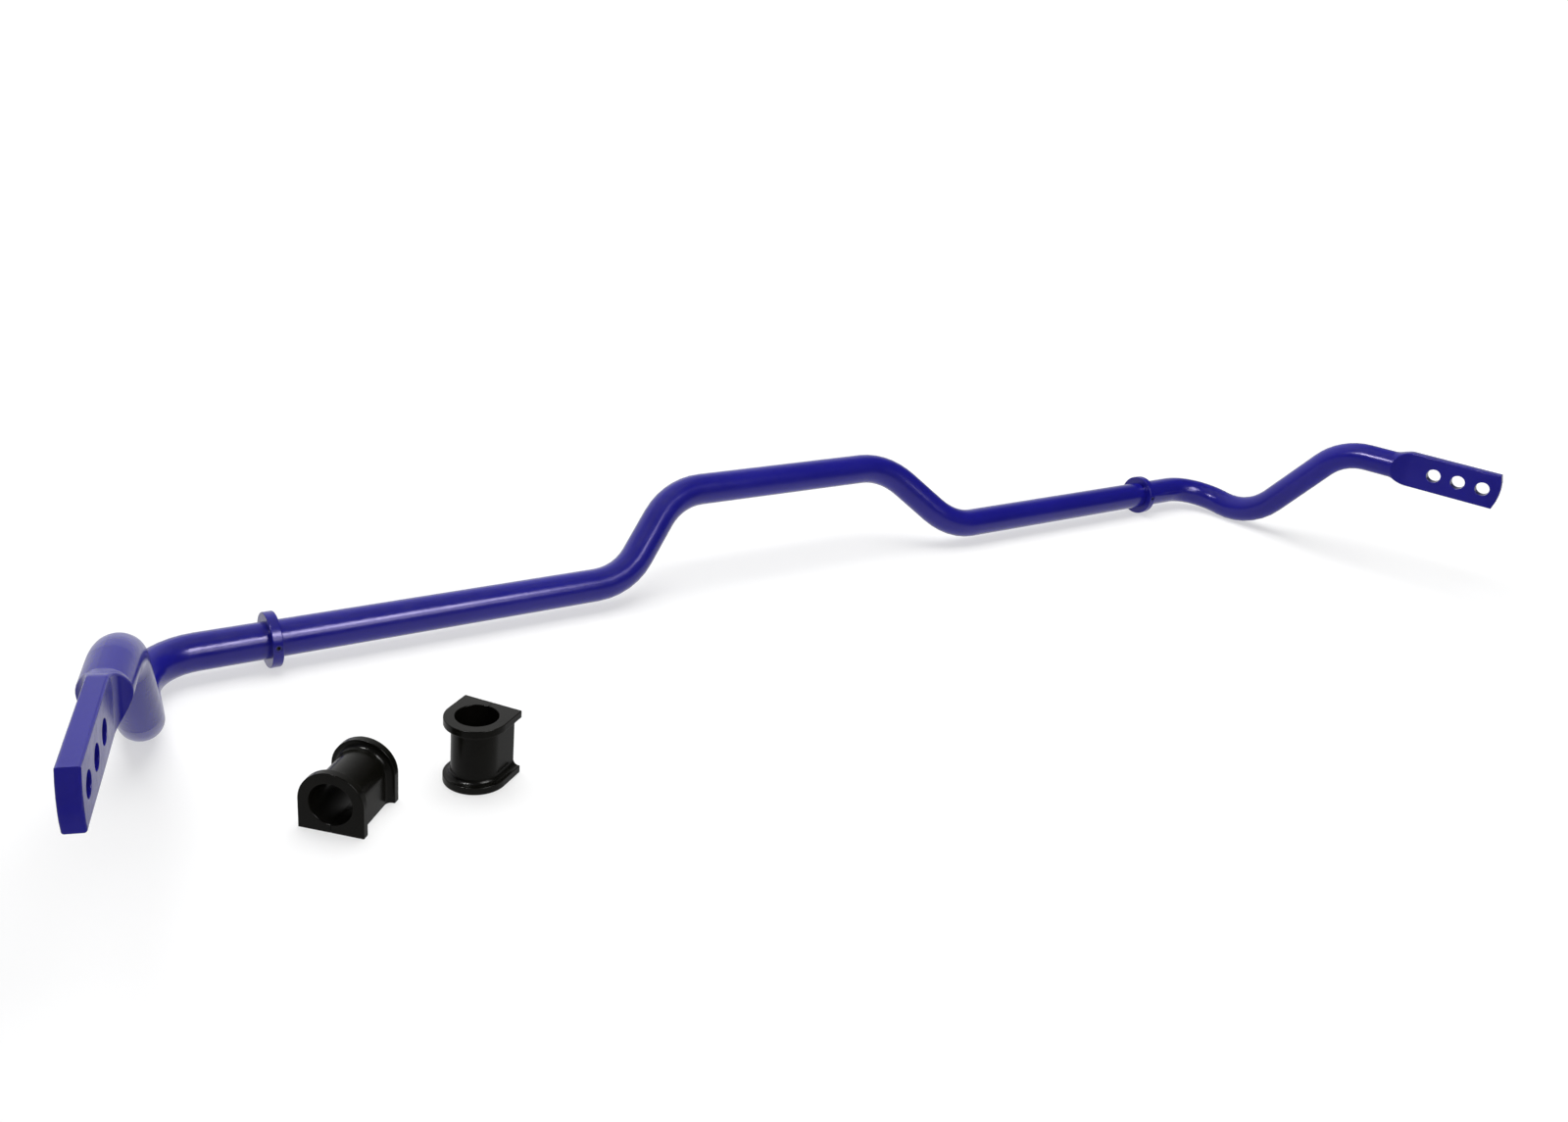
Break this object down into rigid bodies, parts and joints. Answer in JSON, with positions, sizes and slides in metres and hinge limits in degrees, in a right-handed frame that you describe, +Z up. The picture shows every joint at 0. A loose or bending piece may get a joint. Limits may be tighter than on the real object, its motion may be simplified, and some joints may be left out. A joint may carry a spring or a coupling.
{
  "type": "sway bar",
  "caption": "Bent solid round bar with a raised middle, cranked arms, flattened drilled ends, locating collars, and loose flanged D-shaped bushes lying beside it.",
  "frame": {"origin": "under the middle of the whole set, on the surface it lies on", "axes": "+X along the bar's main axis, +Y from the link blades towards the raised middle, +Z up"},
  "size_m": [1.0478, 0.2886, 0.1028],
  "materials": {
    "blue_coat": "semi-gloss powder coat",
    "screw_steel": "blackened steel, coated over in place",
    "bush_poly": "satin black cast polyurethane"
  },
  "bodies": {
    "bar": {"bar": "blue_coat"},
    "collar_left": {"collar_left": "blue_coat"},
    "collar_right": {"collar_right": "blue_coat"},
    "grub_screw_left": {"grub_screw_left": "screw_steel"},
    "grub_screw_right": {"grub_screw_right": "screw_steel"},
    "bush_left": {"bush_left": "bush_poly"},
    "bush_right": {"bush_right": "bush_poly"}
  },
  "joints": [
    {"name": "collar_left_slide", "type": "slide", "parent": "bar", "child": "collar_left", "axis": [-1, 0, 0], "range_m": [-0.2, 0.035]},
    {"name": "collar_right_slide", "type": "slide", "parent": "bar", "child": "collar_right", "axis": [1, 0, 0], "range_m": [-0.2, 0.035]},
    {"name": "grub_screw_left_out", "type": "slide", "parent": "collar_left", "child": "grub_screw_left", "axis": [0, -0.9962, 0.0872], "range_m": [0, 0.003]},
    {"name": "grub_screw_right_out", "type": "slide", "parent": "collar_right", "child": "grub_screw_right", "axis": [0, -0.9962, 0.0872], "range_m": [0, 0.003]},
    {"name": "bush_left_lift", "type": "slide", "parent": "bar", "child": "bush_left", "axis": [0, 0, 1], "range_m": [0, 0.12]},
    {"name": "bush_right_lift", "type": "slide", "parent": "bar", "child": "bush_right", "axis": [0, 0, 1], "range_m": [0, 0.12]}
  ]
}
